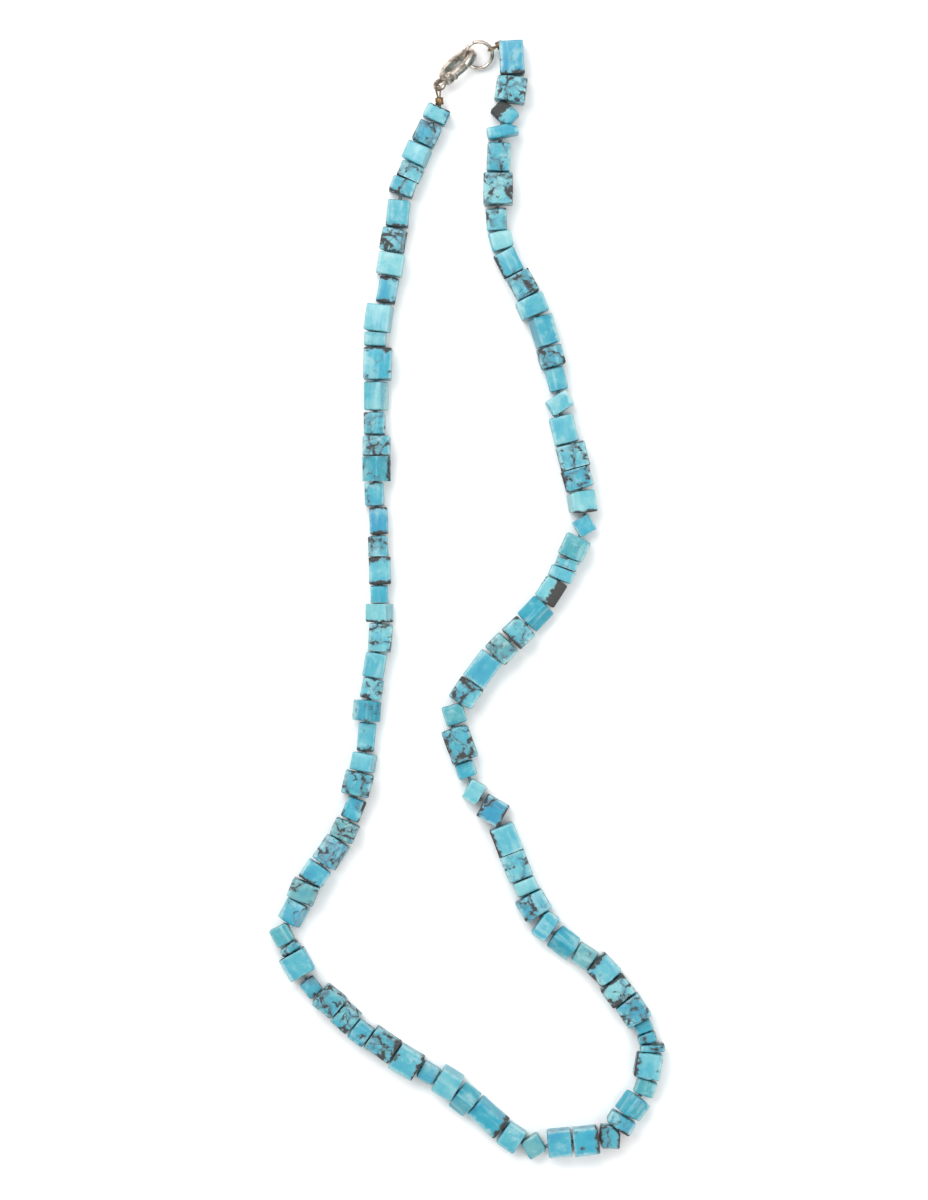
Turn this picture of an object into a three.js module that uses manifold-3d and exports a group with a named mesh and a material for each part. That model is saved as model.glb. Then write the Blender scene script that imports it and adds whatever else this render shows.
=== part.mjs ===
// A beaded necklace, closed and lying flat: square turquoise stones on one thread,
// with a crimp and a wire loop at each end, a lobster clasp and a jump ring.
// Millimetres, +Z up. X runs across the necklace and Y along it, towards the clasp.
import * as THREE from 'three';
import { mergeVertices } from 'three/addons/utils/BufferGeometryUtils.js';
import Module from 'manifold-3d';

const wasm = await Module();
wasm.setup();

// Stones and thread
const STONE_WIDE = 5; // usual width of a stone as it lies
const STONE_CUT = 0.45; // worn-off edge of a stone
const STONE_GAP = 0.16; // between two neighbouring stones
const STONE_TOUCH = 0.04; // between their corners on a bend
const STRAND_GAP = 0.3; // between the two halves of the strand
const THREAD_R = 0.38;

// Lobster clasp, in its own frame: u from the tail eye to the nose, v towards the solid
// arm, w through its thickness
const CLASP_LONG = 9.8; // from the middle of the eye to the end of the nose
const CLASP_WIDE = 4.6;
const CLASP_SIDE = 0.9; // how far the hook lies to the arm's side of its eye
const CLASP_THICK = 1.7;
const CLASP_ARM = 1.15; // the arm's width beside the opening
const CLASP_NOSE = 0.82; // the nose's width beyond the opening
const CLASP_ROUND = 0.3; // rounding of its outer edge
const EYE_R = 1.45;
const EYE_HOLE_R = 0.8;
const EYE_THICK = 1;
const HINGE_AT = 205.5; // where the pin lies on the opening's edge, degrees
const PIN_WALL = 0.063; // between the pin's hole and the opening
const CHEEK_R = 1.1;
const HUB_R = 0.8;
const LEVER_REACH = 4.5; // from the pin to the lever's tip
const LEVER_THICK = 1;
const TAB_R = 0.5; // thumb tab on the lever
const TAB_U = 3.3;
const PIN_R = 0.35;
const FIT = 0.14; // running clearance of the lever, the pin, the loops and the crimps

// How the clasp and the ring lie
const EYE_X = -5.8;
const EYE_Y = 102.8;
const CLASP_HEADING = 41.5; // degrees from +X
const CLASP_ROLL = 45; // the arm's side lies low
const RING_HEADING = 15;
const RING_TILT = 25;

// Jump ring, wire loops and crimps
const RING_R = 2.8; // to the middle of its wire
const RING_WIRE_R = 0.4;
const RING_SEAT_U = 7.3; // where its wire crosses the clasp's opening
const RING_SLIT = 2; // degrees
const RING_SLIT_AT = 100;
const LOOP_WIRE_R = 0.18;
const LOOP_ROUND = [60, 110, 145, 180, 215, 250, 300]; // degrees about its bar
const LOOP_SPREAD = 0.28; // half the distance between a loop's two legs
const CRIMP_R = 0.82;
const CRIMP_BORE_R = 0.62;
const CRIMP_LONG = 1.4;
const NECK_LEFT = 0.55; // bare wire between a loop's round and its crimp
const NECK_RIGHT = 0.05;

// The strand's route seen from above, down the left side and up the right one
const ROUTE = [
  [-5.8, 98.4], [-13.6, 80.6], [-14.4, 75.4], [-16.8, 61.8], [-18, 55.4], [-18.6, 29.8],
  [-18, -7.2], [-20.2, -21.2], [-20.8, -29.2], [-24.2, -43.8], [-27.4, -50.2], [-31.2, -55.2],
  [-33.4, -60.2], [-35.8, -64.6], [-37.6, -67.2], [-35.8, -70.2], [-31, -78], [-27.4, -81],
  [-23.4, -84.6], [-13.8, -91.4], [-1.8, -98.6], [9.4, -107.8], [14.2, -109.6], [19.2, -108.8],
  [28.6, -107], [31.8, -102.6], [34.8, -97.8], [36.2, -88.6], [33.6, -82.6], [30.2, -78.2],
  [27, -73.8], [23, -70.8], [18.6, -68.2], [12.8, -60.6], [5, -42.6], [1.6, -38.8],
  [-1.8, -29.4], [-3.2, -24.6], [3, -13.8], [16.8, 1], [20.8, 10.2], [22.8, 14.4],
  [23, 19.4], [21.6, 24.2], [18.6, 35.8], [17.2, 43.8], [13.2, 57.8], [7.6, 68.8],
  [6.2, 72.8], [6.2, 93.2], [7.6, 98.8], [8.4, 103.8], [8.2, 111.8],
];

// One row a stone, in hundredths: its length and the bare thread after it as shares of the
// route that the strand fills, its width as it lies and its lean to the outer side as
// shares of STONE_WIDE, then its roll about the thread and its turn seen from above, degrees.
// A turned stone's row ends with its own length as a share of its place
const COLUMNS = ['long', 'bare', 'wide', 'lean', 'roll', 'turn', 'own'];
const LEFT_STONES = [
  [68, 8, 104, 0, 0, 0],
  [92, 4, 100, 2, 0, 0],
  [80, 4, 112, 4, 10, 0],
  [64, 2, 100, -2, 0, 0],
  [68, 20, 104, 4, 0, 0],
  [112, 4, 96, 0, 0, 0],
  [96, 4, 108, 2, 12, 0],
  [92, 4, 112, -4, 0, 0],
  [108, 8, 84, -10, 0, 0],
  [112, 2, 116, 2, 8, 0],
  [56, 4, 92, 10, 0, 0],
  [132, 4, 120, -4, 0, 0],
  [120, 4, 104, 0, 25, 0],
  [92, 4, 92, 6, 0, 0],
  [80, 2, 116, -2, 0, 0],
  [104, 2, 116, -2, 45, 0],
  [96, 4, 84, 10, 0, 0],
  [112, 4, 80, -4, 0, 0],
  [84, 2, 84, 2, 0, 0],
  [112, 2, 92, -2, 0, 0],
  [72, 2, 76, 2, 0, 0],
  [76, 4, 116, 2, 20, 0],
  [116, 2, 100, -6, 0, 0],
  [104, 2, 92, 2, 0, 0],
  [84, 4, 92, -6, 0, 0],
  [88, 2, 116, 2, 45, 0],
  [120, 4, 76, -2, 0, 0],
  [76, 4, 108, -6, 12, 0],
  [96, 4, 120, 0, 0, 0],
  [100, 2, 84, -10, 0, -6, 91],
  [80, 2, 108, -6, 0, 0],
  [120, 8, 116, -2, 15, 0],
  [84, 2, 112, -4, 0, 0],
  [84, 4, 120, 8, 0, 0],
  [96, 12, 108, 6, 20, 0],
  [92, 2, 84, -4, 0, 27, 88],
  [36, 2, 88, -4, 0, 0],
  [100, 20, 116, 2, 0, 0],
  [76, 2, 72, 4, 0, 0],
  [104, 2, 112, -4, 0, 0],
  [84, 2, 112, 0, 10, 0],
  [76, 2, 96, 12, 0, 0],
  [120, 2, 108, -2, 0, 0],
  [112, 4, 116, 4, 0, 0],
  [76, 2, 80, 0, 0, 0],
  [96, 4, 124, -6, 10, 0],
  [84, 2, 124, 10, 45, 0],
  [152, 4, 108, 2, 20, 0],
  [84, 8, 108, 6, 0, 0],
  [92, 8, 88, 0, 0, 45, 90],
  [108, 2, 114, -8, 0, -8, 90],
  [104, 4, 116, -2, 0, 0],
  [80, 2, 98, 4, 0, -28, 105],
  [64, 2, 116, -6, 0, 0],
];
const RIGHT_STONES = [
  [92, 10, 120, 0, 35, 0],
  [66, 2, 88, 8, 0, 0],
  [108, 2, 112, -4, 0, 0],
  [32, 2, 104, 8, 0, 0],
  [44, 4, 80, -8, 0, 0],
  [48, 2, 76, -6, 0, 0],
  [108, 2, 116, -10, 0, 0],
  [92, 4, 120, -8, 0, 0],
  [104, 4, 112, -6, 0, 0],
  [84, 2, 92, -10, 0, 0],
  [108, 4, 108, -2, 45, 0],
  [84, 8, 120, -10, 0, 18, 80],
  [92, 4, 128, -4, 0, 0],
  [60, 4, 100, 2, 0, 0],
  [112, 2, 108, -2, 0, 0],
  [116, 4, 108, -2, 0, 0],
  [132, 2, 104, 0, 0, 25, 76],
  [76, 24, 92, -8, 0, 33, 90],
  [64, 2, 84, -6, 0, 0],
  [144, 8, 116, 2, 0, 0],
  [92, 2, 92, -2, 0, 35, 90],
  [100, 2, 112, 0, 0, 0],
  [132, 4, 108, -2, 0, 0],
  [84, 8, 116, 2, 0, 0],
  [88, 4, 116, 2, 0, 0],
  [108, 4, 112, -4, 45, 0],
  [108, 2, 100, -14, 0, 0],
  [52, 2, 108, -6, 0, 0],
  [40, 2, 96, 0, 0, 0],
  [96, 4, 112, 4, 0, 0],
  [92, 4, 80, 4, 0, 42, 80],
  [92, 8, 120, -8, 10, 0],
  [84, 2, 120, 0, 0, 0],
  [100, 4, 124, 6, 0, 0],
  [116, 4, 104, -2, 0, 0],
  [92, 4, 104, 2, 0, 24, 76],
  [96, 2, 84, 6, 0, 0],
  [84, 4, 108, 6, 0, 0],
  [124, 8, 108, 6, 20, 0],
  [80, 2, 124, -6, 0, 0],
  [104, 2, 104, 0, 0, 0],
  [104, 4, 96, -8, 0, 0],
  [76, 2, 96, 0, 0, 0],
  [92, 12, 88, -8, 0, 0],
  [128, 4, 124, 2, 0, 0],
  [120, 12, 100, 2, 0, 0],
  [64, 2, 132, 10, 0, 20, 75],
  [86, 2, 100, 0, 0, -28, 90],
  [104, 2, 128, 4, 0, 0],
  [148, 0, 104, 4, 0, 0],
];

const UP = new THREE.Vector3(0, 0, 1);
const THREAD_SIDES = 6;
const WIRE_SIDES = 6;
const ROUND_SIDES = 12;
const RING_SIDES = 16;
const OVAL_SIDES = 28;
const LOOP_STEPS = 18;

const turquoise = { color: 0x5fb9d2, roughness: 0.5, metalness: 0 };
const silver = { color: 0xb8ad9e, roughness: 0.28, metalness: 1 };
const bronze = { color: 0x7a5a36, roughness: 0.4, metalness: 1 };

const radians = THREE.MathUtils.degToRad;

// Solids and meshes

function solidOf(geometry) {
  const bare = geometry.clone();
  bare.deleteAttribute('normal');
  bare.deleteAttribute('uv');
  const joined = mergeVertices(bare, 1e-4);
  return new wasm.Manifold(new wasm.Mesh({
    numProp: 3,
    vertProperties: new Float32Array(joined.attributes.position.array),
    triVerts: new Uint32Array(joined.index.array),
  }));
}

function geometryOf(solid) {
  const mesh = solid.getMesh();
  const geometry = new THREE.BufferGeometry();
  geometry.setAttribute('position', new THREE.BufferAttribute(mesh.vertProperties, 3));
  geometry.setIndex(new THREE.BufferAttribute(mesh.triVerts, 1));
  geometry.computeVertexNormals();
  return geometry;
}

function namedMesh(name, solid, finish) {
  const mesh = new THREE.Mesh(geometryOf(solid), new THREE.MeshStandardMaterial(finish));
  mesh.name = name;
  return mesh;
}

function rod(from, to, radius, sides) {
  const axis = new THREE.Vector3().subVectors(to, from);
  const geometry = new THREE.CylinderGeometry(radius, radius, axis.length(), sides);
  const turn = new THREE.Quaternion().setFromUnitVectors(
    new THREE.Vector3(0, 1, 0),
    axis.clone().normalize(),
  );
  geometry.applyQuaternion(turn);
  const middle = new THREE.Vector3().addVectors(from, to).multiplyScalar(0.5);
  geometry.translate(middle.x, middle.y, middle.z);
  return solidOf(geometry);
}

// A plate of even thickness, centred on w = 0
function plate(shape, thick, sides) {
  const geometry = new THREE.ExtrudeGeometry(shape, {
    depth: thick,
    bevelEnabled: false,
    curveSegments: sides / 2,
  });
  geometry.translate(0, 0, -thick / 2);
  return solidOf(geometry);
}

function oval(u, v, half_u, half_v) {
  const shape = new THREE.Shape();
  shape.absellipse(u, v, half_u, half_v, 0, Math.PI * 2, false);
  return shape;
}

function disc(u, v, radius, thick, sides = ROUND_SIDES) {
  return plate(oval(u, v, radius, radius), thick, sides);
}

function slab(u0, u1, v0, v1, thick) {
  const geometry = new THREE.BoxGeometry(u1 - u0, v1 - v0, thick);
  geometry.translate((u0 + u1) / 2, (v0 + v1) / 2, 0);
  return solidOf(geometry);
}

// Wire of WIRE_SIDES sides along a curve
function wire(curve, radius, steps) {
  const section = new THREE.Shape();
  for (let i = 0; i < WIRE_SIDES; i += 1) {
    const angle = (i / WIRE_SIDES) * Math.PI * 2;
    const x = radius * Math.cos(angle);
    const y = radius * Math.sin(angle);
    if (i === 0) section.moveTo(x, y);
    else section.lineTo(x, y);
  }
  section.closePath();
  return solidOf(new THREE.ExtrudeGeometry(section, { steps, extrudePath: curve }));
}

// The strand

function strandRoute() {
  const points = ROUTE.map(([x, y]) => new THREE.Vector3(x, y, 0));
  const curve = new THREE.CatmullRomCurve3(points, false, 'centripetal');
  curve.arcLengthDivisions = 1600;
  return curve;
}

// Every stone's row with the share of the route where it starts and ends
function placedRows() {
  const rows = [...LEFT_STONES, ...RIGHT_STONES].map((row) =>
    Object.fromEntries(row.map((value, i) => [COLUMNS[i], value])));
  const total = rows.reduce((sum, row) => sum + row.long + row.bare, 0);
  let at = 0;
  for (const row of rows) {
    row.start = at / total;
    row.end = (at + row.long) / total;
    row.next = (at + row.long + row.bare) / total;
    at += row.long + row.bare;
  }
  return rows;
}

// A square block with its edges taken off, along its own Z
function stoneBlock(long, side) {
  const half = side / 2;
  const flat = half - STONE_CUT;
  const corners = [
    [half, -flat], [half, flat], [flat, half], [-flat, half],
    [-half, flat], [-half, -flat], [-flat, -half], [flat, -half],
  ];
  const section = new THREE.Shape(corners.map(([x, y]) => new THREE.Vector2(x, y)));
  const cut = Math.min(STONE_CUT, long / 4);
  const depth = long - 2 * cut;
  const geometry = new THREE.ExtrudeGeometry(section, {
    depth,
    bevelThickness: cut,
    bevelSize: cut,
    bevelOffset: -cut,
    bevelSegments: 1,
  });
  geometry.translate(0, 0, -depth / 2);
  return geometry;
}

// One stone lying on the surface, with the middle that its thread runs through
function placedStone(row, curve, length) {
  const middle = (row.start + row.end) / 2;
  const roll = radians(row.roll);
  const turn = radians(row.turn);
  const own = (row.own ?? 100) / 100;
  const long = (row.end - row.start) * length * own - STONE_GAP;
  const seen = (row.wide / 100) * STONE_WIDE;
  const side = (seen + 2 * STONE_CUT * Math.sin(roll)) / (Math.cos(roll) + Math.sin(roll));
  const along = curve.getTangentAt(middle);
  const inner = new THREE.Vector3().crossVectors(UP, along);
  const geometry = stoneBlock(long, side);
  geometry.rotateZ(roll);
  geometry.rotateY(turn);
  geometry.applyMatrix4(new THREE.Matrix4().makeBasis(inner, UP, along));
  geometry.computeBoundingBox();
  const place = curve.getPointAt(middle);
  place.addScaledVector(inner, (-row.lean / 100) * STONE_WIDE);
  place.z = -geometry.boundingBox.min.z;
  geometry.translate(place.x, place.y, place.z);
  return { place, solid: solidOf(geometry) };
}

// What lies past a share of the route, seen along it, is cut away
function keptBefore(solid, curve, share, gap) {
  const along = curve.getTangentAt(share);
  const offset = -along.dot(curve.getPointAt(share)) + gap / 2;
  return solid.trimByPlane([-along.x, -along.y, 0], offset);
}

function keptAfter(solid, curve, share, gap) {
  const along = curve.getTangentAt(share);
  const offset = along.dot(curve.getPointAt(share)) + gap / 2;
  return solid.trimByPlane([along.x, along.y, 0], offset);
}

function joined(solids) {
  return solids.reduce((whole, piece) => whole.add(piece));
}

function strandStones(rows, curve) {
  const length = curve.getLength();
  return rows.map((row, i) => {
    const stone = placedStone(row, curve, length);
    const gap = i === LEFT_STONES.length - 1 ? STRAND_GAP : STONE_TOUCH;
    const gapBefore = i === LEFT_STONES.length ? STRAND_GAP : STONE_TOUCH;
    if (i > 0) {
      const share = (rows[i - 1].end + row.start) / 2;
      stone.solid = keptAfter(stone.solid, curve, share, gapBefore);
    }
    if (i < rows.length - 1) {
      const share = (row.end + rows[i + 1].start) / 2;
      stone.solid = keptBefore(stone.solid, curve, share, gap);
    }
    return stone;
  });
}

// One half of the strand: its stones, the thread through them and the thread's end in the
// crimp, with room for the loop and the crimp beside the first or last stone
function strand(stones, end) {
  const room = rod(end.round, end.clear, CRIMP_R + FIT, ROUND_SIDES);
  const solids = stones.map((stone) => stone.solid.subtract(room));
  const points = [end.thread, end.hole, ...stones.map((stone) => stone.place)];
  const pieces = points.slice(1).map((point, i) =>
    rod(points[i], point, THREAD_R, THREAD_SIDES));
  return joined([...solids, ...pieces]);
}

// Clasp, in its own frame

const CLASP_TAIL_U = EYE_R - CLASP_ARM / 2;
const OPENING_FROM = CLASP_TAIL_U + CLASP_ARM;
const OPENING_HALF_U = (CLASP_LONG - CLASP_NOSE - OPENING_FROM) / 2;
const OPENING_HALF_V = CLASP_WIDE / 2 - CLASP_ARM;
const OPENING_U = OPENING_FROM + OPENING_HALF_U;
const HINGE = hingePlace();
const HINGE_U = HINGE.x;
const HINGE_V = HINGE.y;
const THROUGH = 2 * CLASP_LONG; // a cut that reaches through the clasp
const LEVER_SLOT = LEVER_THICK + 2 * FIT;
const SLOT_TOP = CLASP_SIDE + CLASP_ARM / 2;
const LEVER_TOP = CLASP_SIDE - CLASP_ARM / 4;
const TAB_V = CLASP_SIDE - CLASP_WIDE / 2 + TAB_R / 2;

function claspOutline() {
  const half = (CLASP_LONG - CLASP_TAIL_U) / 2;
  return oval(CLASP_TAIL_U + half, CLASP_SIDE, half, CLASP_WIDE / 2);
}

function claspOpening() {
  return oval(OPENING_U, CLASP_SIDE, OPENING_HALF_U, OPENING_HALF_V);
}

// The pin's middle, outside the opening by the radius of its hole and the wall between them
function hingePlace() {
  const cos = Math.cos(radians(HINGE_AT));
  const sin = Math.sin(radians(HINGE_AT));
  const out = new THREE.Vector2(cos / OPENING_HALF_U, sin / OPENING_HALF_V).normalize();
  const edge = new THREE.Vector2(OPENING_HALF_U * cos, OPENING_HALF_V * sin);
  edge.add(new THREE.Vector2(OPENING_U, CLASP_SIDE));
  return edge.addScaledVector(out, PIN_R + FIT + PIN_WALL);
}

function tailEye() {
  const middle = (EYE_R + EYE_HOLE_R) / 2;
  const half = (EYE_R - EYE_HOLE_R) / 2;
  const flank = EYE_THICK / 4;
  const section = [
    [middle - half, -flank], [middle - half / 2, -EYE_THICK / 2],
    [middle + half / 2, -EYE_THICK / 2], [middle + half, -flank],
    [middle + half, flank], [middle + half / 2, EYE_THICK / 2],
    [middle - half / 2, EYE_THICK / 2], [middle - half, flank],
    [middle - half, -flank],
  ];
  const profile = section.map(([x, y]) => new THREE.Vector2(x, y));
  const geometry = new THREE.LatheGeometry(profile, ROUND_SIDES);
  geometry.rotateX(Math.PI / 2);
  return solidOf(geometry);
}

function claspBody() {
  const thick = CLASP_THICK - 2 * CLASP_ROUND;
  const hook = new THREE.ExtrudeGeometry(claspOutline(), {
    depth: thick,
    bevelThickness: CLASP_ROUND,
    bevelSize: CLASP_ROUND,
    bevelOffset: -CLASP_ROUND,
    bevelSegments: 2,
    curveSegments: OVAL_SIDES / 2,
  });
  hook.translate(0, 0, -thick / 2);
  const reach = disc(HINGE_U, HINGE_V, LEVER_REACH + FIT, THROUGH, OVAL_SIDES);
  const below = slab(HINGE_U, THROUGH, -THROUGH, CLASP_SIDE, THROUGH);
  const cheeks = disc(HINGE_U, HINGE_V, CHEEK_R, CLASP_THICK);
  const slot = disc(HINGE_U, HINGE_V, HUB_R + FIT, LEVER_SLOT)
    .add(slab(HINGE_U - FIT, HINGE_U + CHEEK_R + FIT, -CLASP_WIDE, SLOT_TOP, LEVER_SLOT));
  return solidOf(hook)
    .subtract(reach.intersect(below))
    .add(cheeks)
    .subtract(plate(claspOpening(), THROUGH, OVAL_SIDES))
    .add(tailEye())
    .subtract(disc(0, 0, EYE_HOLE_R, THROUGH))
    .subtract(slot)
    .subtract(disc(HINGE_U, HINGE_V, PIN_R + FIT, THROUGH));
}

// The lever fills the hook's mouth, with its hub between the cheeks
function claspLever() {
  const blade = plate(claspOutline(), LEVER_THICK, OVAL_SIDES)
    .subtract(plate(claspOpening(), THROUGH, OVAL_SIDES))
    .intersect(slab(HINGE_U, THROUGH, -THROUGH, LEVER_TOP, THROUGH))
    .intersect(disc(HINGE_U, HINGE_V, LEVER_REACH, THROUGH, OVAL_SIDES));
  return blade
    .add(disc(HINGE_U, HINGE_V, HUB_R, LEVER_THICK))
    .add(disc(TAB_U, TAB_V, TAB_R, LEVER_THICK))
    .subtract(disc(HINGE_U, HINGE_V, PIN_R + FIT, THROUGH));
}

function claspPin() {
  return disc(HINGE_U, HINGE_V, PIN_R, CLASP_THICK);
}

// Jump ring, in its own frame, with the slit where it was closed
function jumpRing() {
  const from = radians(RING_SLIT_AT + RING_SLIT / 2);
  const sweep = radians(360 - RING_SLIT);
  const points = [];
  for (let i = 0; i <= RING_SIDES; i += 1) {
    const angle = from + (sweep * i) / RING_SIDES;
    points.push(new THREE.Vector3(RING_R * Math.cos(angle), RING_R * Math.sin(angle), 0));
  }
  return wire(new THREE.CatmullRomCurve3(points), RING_WIRE_R, RING_SIDES);
}

// Where the clasp and the ring lie

function claspPlace() {
  const lowArm = (CLASP_SIDE + CLASP_WIDE / 2) * Math.sin(radians(CLASP_ROLL));
  const lowFace = (CLASP_THICK / 2) * Math.cos(radians(CLASP_ROLL));
  return new THREE.Vector3(EYE_X, EYE_Y, lowArm + lowFace);
}

function placedGroup(place, heading, roll) {
  const outer = new THREE.Group();
  outer.position.copy(place);
  outer.rotation.z = radians(heading);
  const inner = new THREE.Group();
  inner.rotation.x = radians(roll);
  outer.add(inner);
  outer.updateMatrixWorld(true);
  return { outer, inner };
}

function axisOf(group, x, y, z) {
  return new THREE.Vector3(x, y, z).transformDirection(group.matrixWorld);
}

// The bar that a loop goes round: its middle, its half thickness and the way to the strand
function barTowards(centre, plane, radius, half, target) {
  const way = new THREE.Vector3().subVectors(target, centre);
  way.addScaledVector(plane, -way.dot(plane)).normalize();
  const middle = centre.clone().addScaledVector(way, radius);
  const along = new THREE.Vector3().subVectors(target, middle).normalize();
  const across = plane.clone().addScaledVector(along, -plane.dot(along)).normalize();
  return { middle, half, along, across };
}

// The crimp's ends and the thread's end in it, for a strand that starts at the hole
function strandEnd(bar, neck, hole) {
  const at = (distance) => bar.middle.clone().addScaledVector(bar.along, distance);
  const near = bar.half + 2 * FIT + 2 * LOOP_WIRE_R + neck;
  return {
    hole,
    round: bar.middle,
    near: at(near),
    far: at(near + CRIMP_LONG),
    clear: at(near + CRIMP_LONG + FIT),
    legs: at(near + CRIMP_LONG / 2 - FIT),
    thread: at(near + CRIMP_LONG / 2 + FIT),
  };
}

function wireLoop(bar, end) {
  const radius = bar.half + FIT + LOOP_WIRE_R;
  const side = (point, distance) => point.clone().addScaledVector(bar.across, distance);
  const round = LOOP_ROUND.map((degrees) => {
    const angle = radians(degrees);
    const point = bar.middle.clone().addScaledVector(bar.along, radius * Math.cos(angle));
    return side(point, radius * Math.sin(angle));
  });
  const points = [
    side(end.legs, LOOP_SPREAD),
    side(end.near, LOOP_SPREAD),
    ...round,
    side(end.near, -LOOP_SPREAD),
    side(end.legs, -LOOP_SPREAD),
  ];
  return wire(new THREE.CatmullRomCurve3(points, false, 'centripetal'), LOOP_WIRE_R, LOOP_STEPS);
}

function crimp(end) {
  const tube = rod(end.near, end.far, CRIMP_R, ROUND_SIDES);
  const reach = new THREE.Vector3().subVectors(end.far, end.near);
  const before = end.near.clone().sub(reach);
  const after = end.far.clone().add(reach);
  return tube.subtract(rod(before, after, CRIMP_BORE_R, ROUND_SIDES));
}

// The whole necklace

const route = strandRoute();
const stones = strandStones(placedRows(), route);
const leftStones = stones.slice(0, LEFT_STONES.length);
const rightStones = stones.slice(LEFT_STONES.length).reverse();

const clasp = placedGroup(claspPlace(), CLASP_HEADING, -CLASP_ROLL);
const seat = new THREE.Vector3(RING_SEAT_U, CLASP_SIDE, 0).applyMatrix4(clasp.inner.matrixWorld);
const ringWay = new THREE.Vector3(Math.cos(radians(RING_HEADING)), Math.sin(radians(RING_HEADING)), 0);
const ringPlace = seat.clone().addScaledVector(ringWay, RING_R);
const ring = placedGroup(ringPlace, RING_HEADING, RING_TILT);

// The two holes where the strand's thread comes out of its end stones
const holeLeft = route.getPointAt(0).setZ(leftStones[0].place.z);
const holeRight = route.getPointAt(1).setZ(rightStones[0].place.z);

const eyeBar = barTowards(
  claspPlace(),
  axisOf(clasp.inner, 0, 0, 1),
  (EYE_R + EYE_HOLE_R) / 2,
  EYE_THICK / 2,
  holeLeft,
);
const ringBar = barTowards(ringPlace, axisOf(ring.inner, 0, 0, 1), RING_R, RING_WIRE_R, holeRight);
const endLeft = strandEnd(eyeBar, NECK_LEFT, holeLeft);
const endRight = strandEnd(ringBar, NECK_RIGHT, holeRight);

clasp.inner.add(namedMesh('clasp_body', claspBody(), silver));
clasp.inner.add(namedMesh('clasp_lever', claspLever(), silver));
clasp.inner.add(namedMesh('clasp_pin', claspPin(), silver));
ring.inner.add(namedMesh('jump_ring', jumpRing(), silver));

const necklace = new THREE.Group();
necklace.add(namedMesh('bead_string_left', strand(leftStones, endLeft), turquoise));
necklace.add(namedMesh('bead_string_right', strand(rightStones, endRight), turquoise));
necklace.add(clasp.outer);
necklace.add(ring.outer);
necklace.add(namedMesh('wire_loop_left', wireLoop(eyeBar, endLeft), bronze));
necklace.add(namedMesh('wire_loop_right', wireLoop(ringBar, endRight), bronze));
necklace.add(namedMesh('crimp_left', crimp(endLeft), bronze));
necklace.add(namedMesh('crimp_right', crimp(endRight), bronze));

export default necklace;
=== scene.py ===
"""A closed strand of square turquoise stones, lying flat, with a lobster clasp and jump ring.

Metres, +Z up. X runs across the necklace and Y along it, towards the clasp.
"""
import math

import bpy
from bpy.props import FloatProperty, FloatVectorProperty, PointerProperty
from mathutils import Matrix, Vector


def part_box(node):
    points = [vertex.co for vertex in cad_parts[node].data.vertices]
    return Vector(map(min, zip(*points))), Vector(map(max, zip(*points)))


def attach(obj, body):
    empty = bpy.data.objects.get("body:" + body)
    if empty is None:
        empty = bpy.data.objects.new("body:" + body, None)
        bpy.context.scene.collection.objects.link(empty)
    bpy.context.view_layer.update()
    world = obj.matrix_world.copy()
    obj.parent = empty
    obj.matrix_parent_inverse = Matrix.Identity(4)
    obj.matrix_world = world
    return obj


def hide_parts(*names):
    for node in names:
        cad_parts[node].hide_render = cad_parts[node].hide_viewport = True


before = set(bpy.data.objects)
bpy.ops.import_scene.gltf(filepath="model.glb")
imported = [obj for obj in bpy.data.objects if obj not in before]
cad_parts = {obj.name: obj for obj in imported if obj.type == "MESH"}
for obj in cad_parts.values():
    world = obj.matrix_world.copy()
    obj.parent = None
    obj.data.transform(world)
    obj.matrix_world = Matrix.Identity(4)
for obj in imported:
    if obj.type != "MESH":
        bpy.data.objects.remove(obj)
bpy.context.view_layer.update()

bl_info = {
    "name": "Turquoise Necklace",
    "version": (1, 0, 0),
    "blender": (4, 5, 0),
    "location": "3D View > Sidebar > Necklace",
    "description": "Builds a strand of square turquoise stones with its clasp",
    "category": "Add Mesh",
}

MM = 0.001
UP = Vector((0, 0, 1))

# The strand as the solids have it: the usual width of a stone as it lies, the worn-off edge that
# its width is measured over, the least distance between two neighbours' corners on a bend, the
# distance between the two halves, and the thread's radius
STONE_WIDE = 5 * MM
STONE_CUT = 0.45 * MM
STONE_TOUCH = 0.04 * MM
STRAND_GAP = 0.3 * MM
THREAD_R = 0.38 * MM

# What the worn stones add to it: how much longer a stone is than its solid, to close up to its
# neighbours, and the share of the route's length by which the thread starts and ends inside it
STONE_CLOSE = 0.16 * MM
THREAD_IN = 0.0008
THREAD_LEAN = 0.6  # of a stone's own lean, so that the thread runs smoother than the stones

# Dents in the stones: the distance between them and their share of the full depth
DENTS = ((2.4 * MM, 1.0), (0.8 * MM, 0.35))

# What the ring's and the loops' wires get back of the thickness that rounding takes from them
RING_SWELL = 0.03 * MM
LOOP_SWELL = 0.014 * MM

# Degrees between two faces from which the edge between them counts as sharp
STONE_SHARP = 20
METAL_SHARP = 50
WIRE_END_SHARP = 75

# Colours that multiply a stone's own colour: deeper clouds, darker bands that are partly painted
# shade, bright grain
CLOUD_TINT = (0.54, 0.86, 0.96)
BAND_TINT = (0.62, 0.86, 0.95)
GRAIN_TINT = (1.16, 1.12, 1.08)

# Steps between the patterns of two neighbouring stones, in millimetres
PATTERN_STEP = (13.7, -10.9, 9.1)

# Each light's name, place in metres, width in metres and power in watts
LIGHTS = (("key", (-0.35, 0.5, 0.9), 0.7, 9.0), ("fill", (0.6, -0.3, 0.8), 0.9, 4.0))

# The sky's strength, which rises from one height of the view to another
SKY = (("From Min", 0.1), ("From Max", 0.75), ("To Min", 0.16), ("To Max", 0.84))

# The camera: the middle of its view, and its film's height in millimetres
VIEW_MIDDLE = (-1.0 * MM, -0.2 * MM)
FILM = 36

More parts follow.
